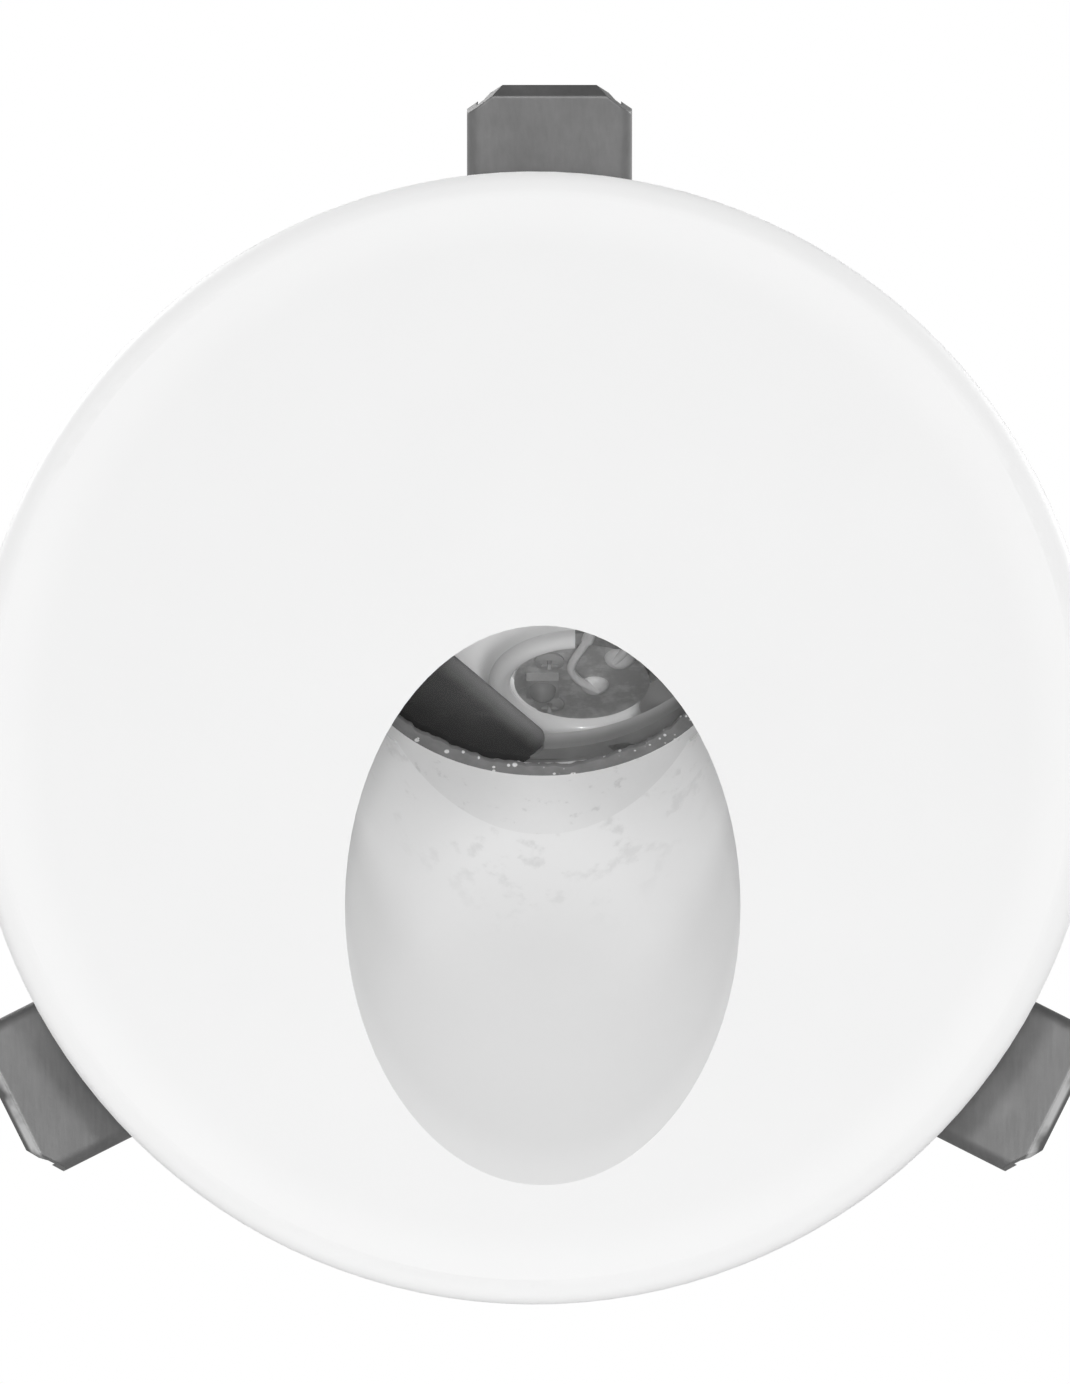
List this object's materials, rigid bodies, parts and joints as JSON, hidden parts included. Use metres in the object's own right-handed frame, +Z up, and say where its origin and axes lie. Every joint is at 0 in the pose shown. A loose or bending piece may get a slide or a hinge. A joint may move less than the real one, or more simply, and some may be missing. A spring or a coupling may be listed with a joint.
{
  "type": "recessed step light",
  "caption": "Round recessed step light with a tilted oval light opening, folding spring-loaded retaining arms and a cable gland at the rear.",
  "frame": {"origin": "centre of the flange's back face, on the wall's surface", "axes": "+Y into the wall along the body, +Z up, +X to the right seen from the front"},
  "size_m": [0.082, 0.0637, 0.0884],
  "materials": {
    "white_casting": "smooth powder coat",
    "frame_metal": "satin paint",
    "housing_metal": "cast",
    "carrier_metal": "milled",
    "clamp_metal": "satin",
    "baffle_black": "gloss",
    "arm_steel": "brushed",
    "bracket_steel": "brushed",
    "pin_steel": "turned",
    "spring_steel": "drawn wire",
    "screw_steel": "plated",
    "seal_rubber": "matt",
    "lens_clear": "polished",
    "reflector_grey": "satin",
    "board_dark": "solder mask",
    "pad_grey": "matt",
    "emitter_pale": "satin",
    "dome_clear": "polished",
    "lead_pale": "satin",
    "lead_dark": "satin",
    "terminal_pale": "moulded",
    "gland_plastic": "moulded"
  },
  "bodies": {
    "housing": {"front_casting": "white_casting", "lens_frame": "frame_metal", "rear_housing": "housing_metal", "led_carrier": "carrier_metal", "lens_clamp_ring": "clamp_metal", "lens_baffle": "baffle_black", "bracket_top": "bracket_steel", "bracket_left": "bracket_steel", "bracket_right": "bracket_steel", "pin_top": "pin_steel", "pin_left": "pin_steel", "pin_right": "pin_steel", "spring_top": "spring_steel", "spring_left": "spring_steel", "spring_right": "spring_steel", "frame_screws": "screw_steel", "board_screws": "screw_steel", "carrier_screws": "screw_steel", "terminal_screws": "screw_steel", "housing_screws": "screw_steel", "clip_screws": "screw_steel", "lens_gasket": "seal_rubber", "joint_gasket": "seal_rubber", "gland_seal": "seal_rubber", "lens_glass": "lens_clear", "reflector": "reflector_grey", "led_board": "board_dark", "thermal_pad": "pad_grey", "led_emitter": "emitter_pale", "emitter_dome": "dome_clear", "lead_plus": "lead_pale", "lead_minus": "lead_dark", "terminal_block": "terminal_pale", "gland_body": "gland_plastic", "gland_locknut": "gland_plastic", "gland_nut": "gland_plastic"},
    "top_arm": {"arm_top": "arm_steel"},
    "left_arm": {"arm_left": "arm_steel"},
    "right_arm": {"arm_right": "arm_steel"}
  },
  "joints": [
    {"name": "top_arm_fold", "type": "hinge", "parent": "housing", "child": "top_arm", "pos_m": [0.0011, 0.011, 0.0293], "axis": [-1, 0, 0], "range_deg": [0, 105], "stiffness_Nm_per_rad": 0.02, "springref_deg": -51.57, "deforming": ["spring_top"]},
    {"name": "left_arm_fold", "type": "hinge", "parent": "housing", "child": "left_arm", "pos_m": [-0.02224, 0.011, -0.0188], "axis": [0.4478, 0, -0.8942], "range_deg": [0, 105], "stiffness_Nm_per_rad": 0.02, "springref_deg": -51.57, "deforming": ["spring_left"]},
    {"name": "right_arm_fold", "type": "hinge", "parent": "housing", "child": "right_arm", "pos_m": [0.02224, 0.011, -0.0188], "axis": [0.4478, 0, 0.8942], "range_deg": [0, 105], "stiffness_Nm_per_rad": 0.02, "springref_deg": -51.57, "deforming": ["spring_right"]}
  ]
}
